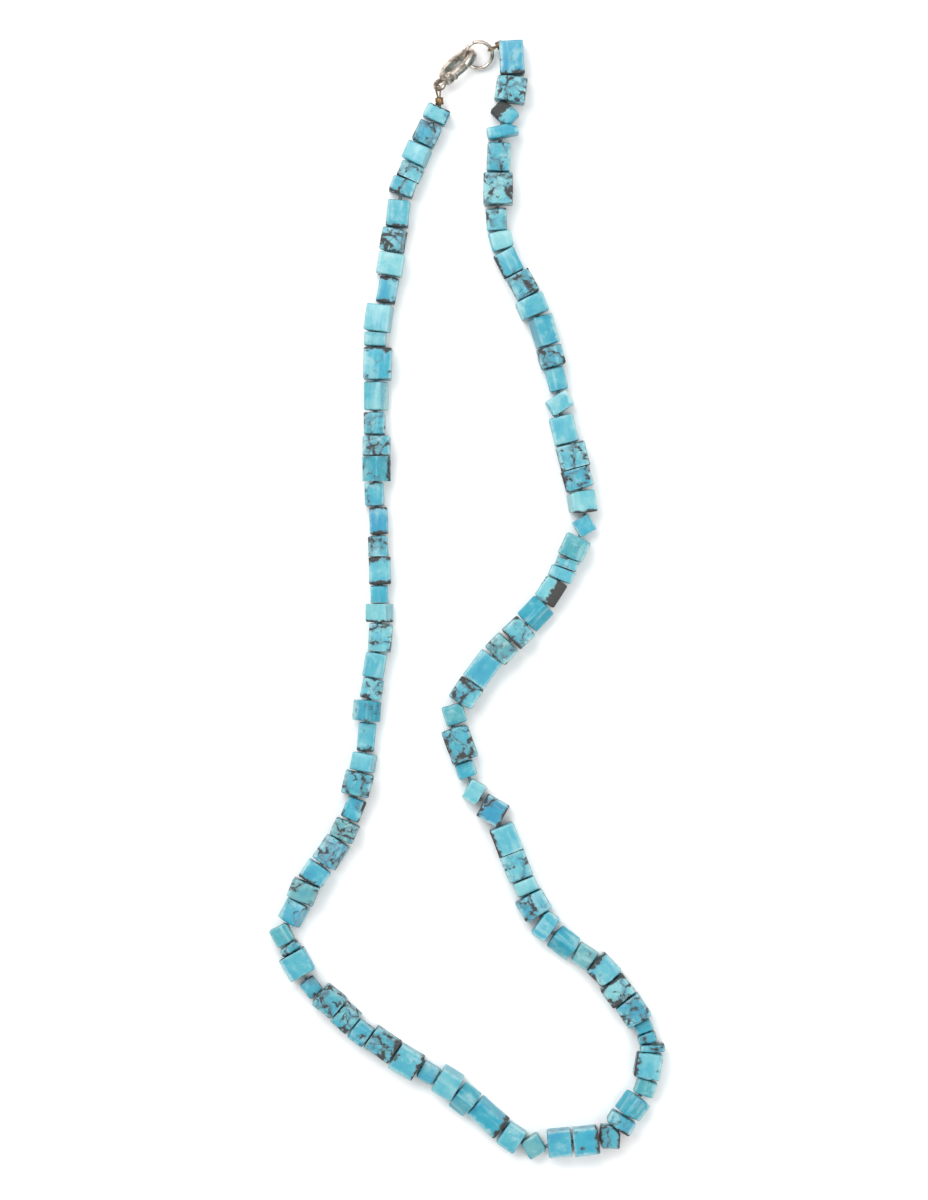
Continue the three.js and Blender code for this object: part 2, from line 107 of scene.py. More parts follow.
# The strand's route seen from above, in millimetres, from the clasp's end to the ring's end
ROUTE = [
    (-5.8, 98.4), (-13.6, 80.6), (-14.4, 75.4), (-16.8, 61.8), (-18, 55.4), (-18.6, 29.8),
    (-18, -7.2), (-20.2, -21.2), (-20.8, -29.2), (-24.2, -43.8), (-27.4, -50.2), (-31.2, -55.2),
    (-33.4, -60.2), (-35.8, -64.6), (-37.6, -67.2), (-35.8, -70.2), (-31, -78), (-27.4, -81),
    (-23.4, -84.6), (-13.8, -91.4), (-1.8, -98.6), (9.4, -107.8), (14.2, -109.6), (19.2, -108.8),
    (28.6, -107), (31.8, -102.6), (34.8, -97.8), (36.2, -88.6), (33.6, -82.6), (30.2, -78.2),
    (27, -73.8), (23, -70.8), (18.6, -68.2), (12.8, -60.6), (5, -42.6), (1.6, -38.8),
    (-1.8, -29.4), (-3.2, -24.6), (3, -13.8), (16.8, 1), (20.8, 10.2), (22.8, 14.4),
    (23, 19.4), (21.6, 24.2), (18.6, 35.8), (17.2, 43.8), (13.2, 57.8), (7.6, 68.8),
    (6.2, 72.8), (6.2, 93.2), (7.6, 98.8), (8.4, 103.8), (8.2, 111.8),
]

# One row a stone. The sizes, in hundredths: length, bare thread after it, width, lean to the
# outer side, then roll and turn in degrees, and a turned stone's own length as a share of its
# place. The look: its tone, how veined it is from 0 to 3, and what marks its start, its end,
# its inner side and its outer side (d dark, D half dark, b blue-grey, c cyan, p pale)
LEFT_STONES = [
    ((68, 8, 104, 0, 0, 0), "L1d.c."),
    ((92, 4, 100, 2, 0, 0), "B3...."),
    ((80, 4, 112, 4, 10, 0), "L0...."),
    ((64, 2, 100, -2, 0, 0), "L2...."),
    ((68, 20, 104, 4, 0, 0), "M2.d.."),
    ((112, 4, 96, 0, 0, 0), "M0.d.."),
    ((96, 4, 108, 2, 12, 0), "L3...."),
    ((92, 4, 112, -4, 0, 0), "P0...."),
    ((108, 8, 84, -10, 0, 0), "B1dd.."),
    ((112, 2, 116, 2, 8, 0), "L0...."),
    ((56, 4, 92, 10, 0, 0), "M0...."),
    ((132, 4, 120, -4, 0, 0), "C1db.."),
    ((120, 4, 104, 0, 25, 0), "L0..p."),
    ((92, 4, 92, 6, 0, 0), "M2...."),
    ((80, 2, 116, -2, 0, 0), "M3...."),
    ((104, 2, 116, -2, 45, 0), "M1..d."),
    ((96, 4, 84, 10, 0, 0), "M1.b.."),
    ((112, 4, 80, -4, 0, 0), "S0dd.."),
    ((84, 2, 84, 2, 0, 0), "M3...."),
    ((112, 2, 92, -2, 0, 0), "L1dd.."),
    ((72, 2, 76, 2, 0, 0), "C0...."),
    ((76, 4, 116, 2, 20, 0), "P0.d.."),
    ((116, 2, 100, -6, 0, 0), "P3...."),
    ((104, 2, 92, 2, 0, 0), "M0...."),
    ((84, 4, 92, -6, 0, 0), "L2...."),
    ((88, 2, 116, 2, 45, 0), "B1..bp"),
    ((120, 4, 76, -2, 0, 0), "M1.d.."),
    ((76, 4, 108, -6, 12, 0), "L0..c."),
    ((96, 4, 120, 0, 0, 0), "M3...."),
    ((100, 2, 84, -10, 0, -6, 91), "C1..d."),
    ((80, 2, 108, -6, 0, 0), "G3...."),
    ((120, 8, 116, -2, 15, 0), "B3...p"),
    ((84, 2, 112, -4, 0, 0), "B1.d.."),
    ((84, 4, 120, 8, 0, 0), "G2...."),
    ((96, 12, 108, 6, 20, 0), "B1...p"),
    ((92, 2, 84, -4, 0, 27, 88), "T0...."),
    ((36, 2, 88, -4, 0, 0), "M2b..."),
    ((100, 20, 116, 2, 0, 0), "M0..c."),
    ((76, 2, 72, 4, 0, 0), "B2d..."),
    ((104, 2, 112, -4, 0, 0), "M3...."),
    ((84, 2, 112, 0, 10, 0), "L3...."),
    ((76, 2, 96, 12, 0, 0), "B2..b."),
    ((120, 2, 108, -2, 0, 0), "M3.d.."),
    ((112, 4, 116, 4, 0, 0), "M1.d.."),
    ((76, 2, 80, 0, 0, 0), "B0...."),
    ((96, 4, 124, -6, 10, 0), "L0...."),
    ((84, 2, 124, 10, 45, 0), "M0...."),
    ((152, 4, 108, 2, 20, 0), "C0.d.p"),
    ((84, 8, 108, 6, 0, 0), "M0...."),
    ((92, 8, 88, 0, 0, 45, 90), "G0...."),
    ((108, 2, 114, -8, 0, -8, 90), "B0..b."),
    ((104, 4, 116, -2, 0, 0), "C1.d.."),
    ((80, 2, 98, 4, 0, -28, 105), "M3dd.."),
    ((64, 2, 116, -6, 0, 0), "B2db.."),
]
RIGHT_STONES = [
    ((92, 10, 120, 0, 35, 0), "C0...p"),
    ((66, 2, 88, 8, 0, 0), "T0...."),
    ((108, 2, 112, -4, 0, 0), "L1..d."),
    ((32, 2, 104, 8, 0, 0), "M2.d.."),
    ((44, 4, 80, -8, 0, 0), "M2...."),
    ((48, 2, 76, -6, 0, 0), "C0...."),
    ((108, 2, 116, -10, 0, 0), "B3...."),
    ((92, 4, 120, -8, 0, 0), "P3.d.."),
    ((104, 4, 112, -6, 0, 0), "L1.dd."),
    ((84, 2, 92, -10, 0, 0), "G1...."),
    ((108, 4, 108, -2, 45, 0), "C0.b.."),
    ((84, 8, 120, -10, 0, 18, 80), "C0...."),
    ((92, 4, 128, -4, 0, 0), "B2...."),
    ((60, 4, 100, 2, 0, 0), "P0...."),
    ((112, 2, 108, -2, 0, 0), "L2...."),
    ((116, 4, 108, -2, 0, 0), "L0..d."),
    ((132, 2, 104, 0, 0, 25, 76), "S2dd.."),
    ((76, 24, 92, -8, 0, 33, 90), "P0...."),
    ((64, 2, 84, -6, 0, 0), "C0...."),
    ((144, 8, 116, 2, 0, 0), "M3...."),
    ((92, 2, 92, -2, 0, 35, 90), "T0...."),
    ((100, 2, 112, 0, 0, 0), "L3...."),
    ((132, 4, 108, -2, 0, 0), "B0...."),
    ((84, 8, 116, 2, 0, 0), "G2bb.."),
    ((88, 4, 116, 2, 0, 0), "L2d..."),
    ((108, 4, 112, -4, 45, 0), "C0...."),
    ((108, 2, 100, -14, 0, 0), "P1...D"),
    ((52, 2, 108, -6, 0, 0), "L0...."),
    ((40, 2, 96, 0, 0, 0), "M2...."),
    ((96, 4, 112, 4, 0, 0), "T1...."),
    ((92, 4, 80, 4, 0, 42, 80), "C0.b.."),
    ((92, 8, 120, -8, 10, 0), "P0db.."),
    ((84, 2, 120, 0, 0, 0), "B2..d."),
    ((100, 4, 124, 6, 0, 0), "L3...."),
    ((116, 4, 104, -2, 0, 0), "L0...."),
    ((92, 4, 104, 2, 0, 24, 76), "L0..cp"),
    ((96, 2, 84, 6, 0, 0), "M0...."),
    ((84, 4, 108, 6, 0, 0), "M3...."),
    ((124, 8, 108, 6, 20, 0), "B0...p"),
    ((80, 2, 124, -6, 0, 0), "M0...."),
    ((104, 2, 104, 0, 0, 0), "M3...."),
    ((104, 4, 96, -8, 0, 0), "M1..dc"),
    ((76, 2, 96, 0, 0, 0), "P0..c."),
    ((92, 12, 88, -8, 0, 0), "L2.d.."),
    ((128, 4, 124, 2, 0, 0), "P3...."),
    ((120, 12, 100, 2, 0, 0), "M2...."),
    ((64, 2, 132, 10, 0, 20, 75), "C0...."),
    ((86, 2, 100, 0, 0, -28, 90), "L1..Dc"),
    ((104, 2, 128, 4, 0, 0), "L3.b.."),
    ((148, 0, 104, 4, 0, 0), "S1d..."),
]
HALVES = (("left", 0, len(LEFT_STONES)),
          ("right", len(LEFT_STONES), len(LEFT_STONES) + len(RIGHT_STONES)))

# A stone's tone, from pale through middle and blue to strong cyan, then teal and green
TONES = {
    "P": (0.155, 0.435, 0.47), "L": (0.093, 0.375, 0.44), "M": (0.053, 0.325, 0.40),
    "B": (0.036, 0.302, 0.40), "S": (0.018, 0.262, 0.39), "C": (0.024, 0.31, 0.405),
    "T": (0.040, 0.285, 0.33), "G": (0.098, 0.315, 0.34),
}

# How strongly a letter of the look marks an end or a side, for each kind of mark
MARKS = {
    "dark": {"D": 3.0, "d": 1.0, "b": 0.55},
    "pale": {"p": 1.0},
    "cyan": {"c": 1.0},
}


class StoneSettings(bpy.types.PropertyGroup):
    """Sizes and colours of the stones"""
    round: FloatProperty(
        name="Worn edge", description="How far a stone's edges are worn round",
        default=0.42 * MM, min=0.1 * MM, subtype="DISTANCE", unit="LENGTH")
    uneven: FloatProperty(
        name="Uneven corners", description="How far a corner strays from a true block",
        default=0.08 * MM, min=0, subtype="DISTANCE", unit="LENGTH")
    dents: FloatProperty(
        name="Dents", description="Depth of the shallow dents in the faces",
        default=0.13 * MM, min=0, subtype="DISTANCE", unit="LENGTH")
    matrix: FloatVectorProperty(
        name="Dark matrix", description="Colour of the darkest veins and patches",
        default=(0.020, 0.016, 0.015), subtype="COLOR", min=0, max=1)
    matrix_brown: FloatVectorProperty(
        name="Brown matrix", description="Colour of the brown grains in the dark matrix",
        default=(0.075, 0.052, 0.040), subtype="COLOR", min=0, max=1)
    halo: FloatVectorProperty(
        name="Vein's edge", description="Blue-grey colour beside a vein",
        default=(0.070, 0.15, 0.20), subtype="COLOR", min=0, max=1)
    # This colour also paints the highlights along the stones' edges
    pale: FloatVectorProperty(
        name="Pale stone", description="Colour of the pale spots and worn edges",
        default=(0.36, 0.56, 0.57), subtype="COLOR", min=0, max=1)
    cyan: FloatVectorProperty(
        name="Cyan stone", description="Colour of the strongest cyan sides",
        default=(0.012, 0.29, 0.40), subtype="COLOR", min=0, max=1)
    vein_size: FloatProperty(
        name="Vein spacing", description="Distance between neighbouring veins",
        default=4.0 * MM, min=0.5 * MM, subtype="DISTANCE", unit="LENGTH")


class MetalSettings(bpy.types.PropertyGroup):
    """Colours of the clasp, the ring, the wire and the thread"""
    silver: FloatVectorProperty(
        name="Clasp metal", description="Warm grey silver of the clasp and the ring",
        default=(0.71, 0.63, 0.54), subtype="COLOR", min=0, max=1)
    # Brown of the dark reflections and shade that are painted in patches on the metal
    painted_reflection_brown: FloatVectorProperty(
        name="Tarnish", description="Brown film in the clasp's corners",
        default=(0.10, 0.062, 0.038), subtype="COLOR", min=0, max=1)
    bronze: FloatVectorProperty(
        name="Crimp metal", description="Brown-gold of the crimps and the wire loops",
        default=(0.32, 0.20, 0.10), subtype="COLOR", min=0, max=1)
    thread: FloatVectorProperty(
        name="Thread", description="Colour of the thread between the stones",
        default=(0.16, 0.20, 0.21), subtype="COLOR", min=0, max=1)
    edge: FloatProperty(
        name="Metal edge", description="Rounding of the clasp's edges",
        default=0.07 * MM, min=0, subtype="DISTANCE", unit="LENGTH")


class StageSettings(bpy.types.PropertyGroup):
    """Floor, lights and camera"""
    floor: FloatVectorProperty(
        name="Floor", description="Colour of the floor", default=(0.93, 0.93, 0.93),
        subtype="COLOR", min=0, max=1)
    height: FloatProperty(
        name="Camera height", description="Height of the camera above the stones",
        default=0.9, min=0.2, subtype="DISTANCE", unit="LENGTH")
    view: FloatProperty(
        name="View height", description="Length of table that the frame shows",
        default=0.24, min=0.05, subtype="DISTANCE", unit="LENGTH")


# Materials

class Value:
    """A number or a vector in a material, with Python's arithmetic on it."""

    def __init__(self, finish, socket):
        self.finish, self.socket = finish, socket

    def maths(self, operation, *values):
        return self.finish.node("ShaderNodeMath", {"operation": operation}, *values)

    def __add__(self, other):
        return self.maths("ADD", self, other)

    def __sub__(self, other):
        return self.maths("SUBTRACT", self, other)

    def __rsub__(self, other):
        return self.maths("SUBTRACT", other, self)

    def __mul__(self, other):
        return self.maths("MULTIPLY", self, other)

    def __abs__(self):
        return self.maths("ABSOLUTE", self)

    def least(self, other):
        return self.maths("MINIMUM", self, other)

    def most(self, other):
        return self.maths("MAXIMUM", self, other)

    def rising(self, low, high):
        """0 below low and 1 above high, smooth between them."""
        settings = {"interpolation_type": "SMOOTHSTEP"}
        return self.finish.node("ShaderNodeMapRange", settings, self, low, high, 0, 1)

    __radd__, __rmul__ = __add__, __mul__


class Finish:
    """A material and the nodes that are added to it."""

    def __init__(self, name):
        self.material = bpy.data.materials.new(name)
        self.material.use_nodes = True
        self.nodes = self.material.node_tree.nodes
        self.shader = self.nodes["Principled BSDF"]

    def link(self, socket, value):
        if isinstance(value, Value):
            self.material.node_tree.links.new(value.socket, socket)
        elif isinstance(value, tuple) and socket.type == "RGBA":
            socket.default_value = (*value[:3], 1)
        else:
            socket.default_value = value

    def node(self, kind, settings, *values, output=0, **named):
        """A node of a kind: its settings first, then its sockets in order or by name."""
        node = self.nodes.new(kind)
        for name, value in settings.items():
            setattr(node, name, value)
        open_sockets = [socket for socket in node.inputs if socket.enabled]
        for socket, value in zip(open_sockets, values):
            self.link(socket, value)
        for name, value in named.items():
            self.link(node.inputs[name], value)
        found = [socket for socket in node.outputs if socket.enabled]
        return Value(self, node.outputs[output] if isinstance(output, str) else found[output])

    def mix(self, first, second, factor):
        """first where the factor is 0 and second where it is 1."""
        return self.node("ShaderNodeMix", {"data_type": "RGBA"}, factor, first, second)

    def vector(self, operation, *values):
        return self.node("ShaderNodeVectorMath", {"operation": operation}, *values)

    def place(self):
        """The place on the object, in millimetres."""
        place = self.node("ShaderNodeTexCoord", {}, output="Object")
        return self.vector("MULTIPLY", place, (1000, 1000, 1000))

    def noise(self, place, scale, detail=3, output=0, rough=0.55):
        return self.node("ShaderNodeTexNoise", {}, place, scale, detail, rough, output=output)

    def read(self, name, output="Color"):
        return self.node("ShaderNodeAttribute", {"attribute_name": name}, output=output)

    def parts(self, value):
        """A colour's or a vector's three numbers."""
        node = self.nodes.new("ShaderNodeSeparateXYZ")
        self.link(node.inputs[0], value)
        return [Value(self, socket) for socket in node.outputs]

    def shade(self, metallic=0, normal=None, **values):
        self.link(self.shader.inputs["Metallic"], metallic)
        for name, value in values.items():
            self.link(self.shader.inputs[name.replace("_", " ")], value)
        if normal:
            self.link(self.shader.inputs["Normal"], normal)
        return self.material

    def bump(self, height, distance, strength=1.0):
        return self.node("ShaderNodeBump", {}, Strength=strength, Distance=distance,
                         Height=height)


def vein_lines(finish, settings, place, bent, veined):
    """Veins, thick in places and gone in others: their lines, hair lines and blue-grey halo."""
    spacing = MM / settings.vein_size
    cells = {"feature": "DISTANCE_TO_EDGE"}
    wide = finish.node("ShaderNodeTexVoronoi", cells, bent, spacing)
    fine = finish.node("ShaderNodeTexVoronoi", cells, bent, spacing * 2.3)
    reach = finish.noise(place, 0.5, 2).rising(0.34, 0.66)
    here = (veined * 1.15 + reach - 1.0).rising(0.0, 0.5)
    thick = finish.noise(place, 0.6, 2).rising(0.40, 0.68) * 0.095 + 0.006
    curl = abs(finish.noise(bent, 0.30, 1) - 0.5)
    gone = finish.noise(place, 0.42, 2, rough=0.4).rising(0.62, 0.42)
    edges = (thick - wide).rising(-0.03, 0.035) * here
    curls = (thick * 0.5 + 0.003 - curl).rising(-0.010, 0.016) * gone * veined.rising(0.4, 1.0)
    hair = (0.02 - fine).rising(-0.03, 0.03) * here * veined.rising(0.3, 0.9)
    halo = (0.20 - wide).rising(0.0, 0.18) * here
    return edges.most(curls), hair, halo


def stone_marks(finish, sides, stray, clear):
    """How far each kind of mark covers the stone's start, end, inner side and outer side."""
    marks = {}
    for kind in MARKS:
        amounts = finish.parts(finish.read("stone_" + kind)) + [
            finish.read("stone_" + kind, "Alpha")]
        total = None
        for side, amount in zip(sides, amounts):
            mark = (side + stray + amount * 0.40).rising(0.98, 1.30) * amount.least(1)
            mark = mark * (1 - clear * side.rising(0.90, 0.98))
            total = mark if total is None else total.most(mark)
        marks[kind] = total
    return marks


def edge_highlights(across, upward, along, blotch):
    """Painted highlights where two of the stone's directions end together, palest on the edges
    along the thread.
    """
    across, upward, along = abs(across), abs(upward), abs(along)
    ridge = (across + upward + (blotch - 0.5) * 0.4).rising(1.60, 1.92)
    ends = (upward + along).most(across + along)
    return ((ends + (blotch - 0.5) * 0.5).rising(1.68, 1.98) * 0.4).most(ridge * 0.8)


def turquoise(settings):
    """Polished turquoise: soft clouds of blue and green, dark veins, marked ends and sides."""
    finish = Finish("turquoise")
    seed = finish.read("stone_seed", "Fac")
    tone = finish.read("stone_tone")
    veined = finish.read("stone_veins", "Fac")
    across, upward, along = finish.parts(finish.read("stone_place", "Vector"))
    seen_side = finish.read("stone_side", "Fac")
    place = finish.vector("ADD", finish.place(), finish.vector("SCALE", PATTERN_STEP, seed))

    sway = finish.vector("SUBTRACT", finish.noise(place, 0.42, 2, output="Color"),
                         (0.5, 0.5, 0.5))
    bent = finish.vector("ADD", place, finish.vector("MULTIPLY", sway, (3.4, 3.4, 3.4)))
    cloud = finish.noise(bent, 0.34, 3)
    blotch = finish.noise(place, 0.9, 4)
    grain = finish.noise(place, 6.5, 4)

    line, hair, halo = vein_lines(finish, settings, place, bent, veined)
    spot = blotch.rising(0.70, 0.78) * veined.rising(0.2, 0.9)
    clear = finish.noise(bent, 0.5, 2).rising(0.40, 0.56) * 0.9
    marks = stone_marks(finish, (0 - along, along, seen_side, 0 - seen_side),
                        (blotch - 0.5) * 0.9 + (cloud - 0.5) * 0.7,
                        clear * (0.86 - upward).rising(0.0, 0.3))
    # Painted highlights along the stone's edges
    worn = edge_highlights(across, upward, along, blotch)

    # Faint pale and darker bands along the thread, partly the stone's own variation and partly
    # painted highlight and shade stripes
    band_place = finish.node("ShaderNodeCombineXYZ", {}, across * 1.7 + seed, upward * 1.7,
                             along * 0.35)
    band = finish.noise(band_place, 1.0, 2)

    pale, matrix = tuple(settings.pale), tuple(settings.matrix)
    colour = finish.mix(tone, finish.vector("MULTIPLY", tone, CLOUD_TINT),
                        cloud.rising(0.46, 0.66))
    colour = finish.mix(colour, pale, cloud.rising(0.48, 0.24) * 0.5)
    colour = finish.mix(colour, pale, band.rising(0.54, 0.72) * 0.4)
    colour = finish.mix(colour, finish.vector("MULTIPLY", colour, BAND_TINT),
                        band.rising(0.46, 0.30) * 0.6)
    # Paints the edge highlights in the pale colour
    colour = finish.mix(colour, pale, worn)
    colour = finish.mix(colour, pale, marks["pale"] * 0.75)
    colour = finish.mix(colour, tuple(settings.cyan), marks["cyan"] * 0.9)
    colour = finish.mix(colour, tuple(settings.halo), (halo * 0.62).most(marks["dark"] * 0.6))
    dark = line.most(hair * 0.6).most(spot * 0.8).most(marks["dark"].rising(0.35, 1.0))
    brown = finish.mix(matrix, tuple(settings.matrix_brown), grain.rising(0.45, 0.7))
    colour = finish.mix(colour, brown, dark * 0.94)
    colour = finish.mix(colour, finish.vector("MULTIPLY", colour, GRAIN_TINT),
                        grain.rising(0.5, 0.8))
    height = 0 - line - hair * 0.4 - dark * 0.3 + grain * 0.25 + blotch * 0.5
    return finish.shade(
        Base_Color=colour,
        Roughness=0.34 + blotch * 0.14 + dark * 0.30,
        Coat_Weight=0.18 - dark * 0.18,
        Coat_Roughness=0.25,
        IOR=1.5,
        normal=finish.bump(height, 0.05 * MM, 0.55),
    )


def metal(name, colour, reflection_brown, rough, share):
    """Metal with brown patches of painted dark reflection and shade, and fine scratches."""
    finish = Finish(name)
    place = finish.place()
    # Brown patches of painted dark reflection and shade, also less metallic and rougher
    reflection_patch = finish.noise(place, 0.6, 4).rising(0.44, 0.62) * share
    scratch = finish.noise(finish.vector("MULTIPLY", place, (2, 26, 9)), 1.0, 3)
    pit = finish.noise(place, 9.0, 3)
    return finish.shade(
        metallic=1 - reflection_patch * 0.25,
        Base_Color=finish.mix(tuple(colour), tuple(reflection_brown), reflection_patch),
        Roughness=rough + scratch * 0.12 + reflection_patch * 0.2,
        normal=finish.bump(scratch * 0.5 + pit, 0.012 * MM, 0.5),
    )


def thread_finish(settings):
    """Twisted thread."""
    finish = Finish("thread")
    place = finish.place()
    twist = finish.node("ShaderNodeTexWave", {"bands_direction": "DIAGONAL"}, place, 2.6, 0.4)
    fray = finish.noise(place, 14.0, 3)
    thread = tuple(settings.thread)
    lighter = tuple(min(1, part * 1.7) for part in thread)
    return finish.shade(
        Base_Color=finish.mix(thread, lighter, fray.rising(0.4, 0.7)),
        Roughness=0.75 + fray * 0.15,
        normal=finish.bump(twist + fray * 0.4, 0.04 * MM),
    )


def floor_finish(settings):
    """Matte pale board."""
    finish = Finish("floor")
    speck = finish.noise(finish.place(), 0.08, 2)
    floor = tuple(settings.floor)
    return finish.shade(
        Base_Color=finish.mix(floor, tuple(part * 0.985 for part in floor), speck),
        Roughness=0.85,
    )


# Objects

def only(piece):
    """Selects one object alone and makes it active."""
    bpy.ops.object.select_all(action="DESELECT")
    piece.select_set(True)
    bpy.context.view_layer.objects.active = piece


def modify(piece, kind, **settings):
    """Adds a modifier and applies it."""
    only(piece)
    modifier = piece.modifiers.new(kind.title(), kind)
    for name, value in settings.items():
        setattr(modifier, name, value)
    bpy.ops.object.modifier_apply(modifier=modifier.name)


def joined(pieces, name):
    """Several objects as one, at the origin."""
    only(pieces[0])
    for piece in pieces:
        piece.select_set(True)
    bpy.ops.object.join()
    piece = bpy.context.object
    piece.name = piece.data.name = name
    return piece


def settled(piece):
    """Puts an object's place, turn and scale into its mesh."""
    only(piece)
    bpy.ops.object.transform_apply(location=True, rotation=True, scale=True)


def bevelled(piece, width, segments, sharp):
    """Rounds the edges that are sharper than an angle in degrees."""
    modify(piece, "BEVEL", width=width, segments=segments, limit_method="ANGLE",
           angle_limit=math.radians(sharp))


def finished(piece, material, body, slot, *nodes, angle=40):
    """Gives a piece its material and its body, smooths it by angle and hides the nodes it stands
    for; the slot is not used.
    """
    piece.data.materials.clear()
    piece.data.materials.append(material)
    only(piece)
    bpy.ops.object.shade_smooth_by_angle(angle=math.radians(angle))
    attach(piece, body)
    if nodes:
        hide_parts(*nodes)


def merged_copy(node, name):
    """A copy of a CAD node with its loose triangles merged."""
    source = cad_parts[node]
    piece = bpy.data.objects.new(name, source.data.copy())
    bpy.context.collection.objects.link(piece)
    piece.data.name = name
    only(piece)
    bpy.ops.object.mode_set(mode="EDIT")
    bpy.ops.mesh.select_all(action="SELECT")
    bpy.ops.mesh.remove_doubles(threshold=0.001 * MM)
    bpy.ops.mesh.dissolve_limited(angle_limit=math.radians(1))
    bpy.ops.object.mode_set(mode="OBJECT")
    return piece


def round_wire(piece, swell):
    """Makes a wire of few flat sides round, with its ends kept flat, and swells it a little."""
    only(piece)
    bpy.ops.object.mode_set(mode="EDIT")
    bpy.ops.mesh.select_all(action="DESELECT")
    bpy.ops.mesh.select_mode(type="EDGE")
    bpy.ops.mesh.edges_select_sharp(sharpness=math.radians(WIRE_END_SHARP))
    bpy.ops.transform.edge_crease(value=1)
    bpy.ops.object.mode_set(mode="OBJECT")
    modify(piece, "SUBSURF", levels=2, render_levels=2)
    modify(piece, "DISPLACE", mid_level=0, strength=swell)


# The strand

def route_points(steps=24):
    """The route as short straight pieces, by the centripetal Catmull-Rom rule."""
    points = [Vector((x, y)) * MM for x, y in ROUTE]
    points = [points[0] * 2 - points[1], *points, points[-1] * 2 - points[-2]]
    line = []
    for before, start, end, after in zip(points, points[1:], points[2:], points[3:]):
        d0, d1, d2 = (math.sqrt((b - a).length) for a, b in
                      ((before, start), (start, end), (end, after)))
        m1 = ((start - before) / d0 - (end - before) / (d0 + d1) + (end - start) / d1) * d1
        m2 = ((end - start) / d1 - (after - start) / (d1 + d2) + (after - end) / d2) * d1
        for step in range(steps):
            t = step / steps
            line.append(start + m1 * t + (3 * (end - start) - 2 * m1 - m2) * t ** 2
                        + (2 * (start - end) + m1 + m2) * t ** 3)
    line.append(points[-2])
    return [Vector((point.x, point.y, 0)) for point in line]


class Route:
    """The strand's route, read by the share of its length."""

    def __init__(self):
        self.line = route_points()
        self.reach = [0.0]
        for start, end in zip(self.line, self.line[1:]):
            self.reach.append(self.reach[-1] + (end - start).length)
        self.length = self.reach[-1]

    def at(self, share):
        """The point and the heading at a share of the length."""
        wanted = min(max(share, 0), 1) * self.length
        i = next((i for i, reach in enumerate(self.reach[1:]) if reach >= wanted),
                 len(self.line) - 2)
        start, end = self.line[i], self.line[i + 1]
        part = (wanted - self.reach[i]) / (self.reach[i + 1] - self.reach[i])
        return start.lerp(end, part), (end - start).normalized()


def placed_rows():
    """Every stone's sizes and look, with the shares of the route where it starts and ends."""
    rows = LEFT_STONES + RIGHT_STONES
    total = sum(sizes[0] + sizes[1] for sizes, look in rows)
    at, placed = 0, []
    for sizes, look in rows:
        placed.append((sizes, look, at / total, (at + sizes[0]) / total))
        at += sizes[0] + sizes[1]
    return placed


def cut_away(piece, point, heading, outer):
    """Cuts off what lies past a plane across the strand and closes the cut."""
    beyond = [(piece.matrix_world @ v.co - point).dot(heading) for v in piece.data.vertices]
    if max(beyond) < 0 if outer else min(beyond) > 0:
        return
    only(piece)
    bpy.ops.object.mode_set(mode="EDIT")
    bpy.ops.mesh.select_all(action="SELECT")
    bpy.ops.mesh.bisect(plane_co=point, plane_no=heading, use_fill=True,
                        clear_outer=outer, clear_inner=not outer)
    bpy.ops.object.mode_set(mode="OBJECT")


def marked(look, kind):
    """How strongly a kind of mark shows at a stone's start, end, inner and outer side."""
    return [MARKS[kind].get(letter, 0.0) for letter in look[2:6]]


def fill(piece, name, kind, values):
    """Writes one value or one list of values on all of a piece's points."""
    layer = piece.data.attributes.new(name, kind, "POINT")
    field = {"FLOAT": "value", "FLOAT_COLOR": "color", "FLOAT_VECTOR": "vector"}[kind]
    layer.data.foreach_set(field, values)


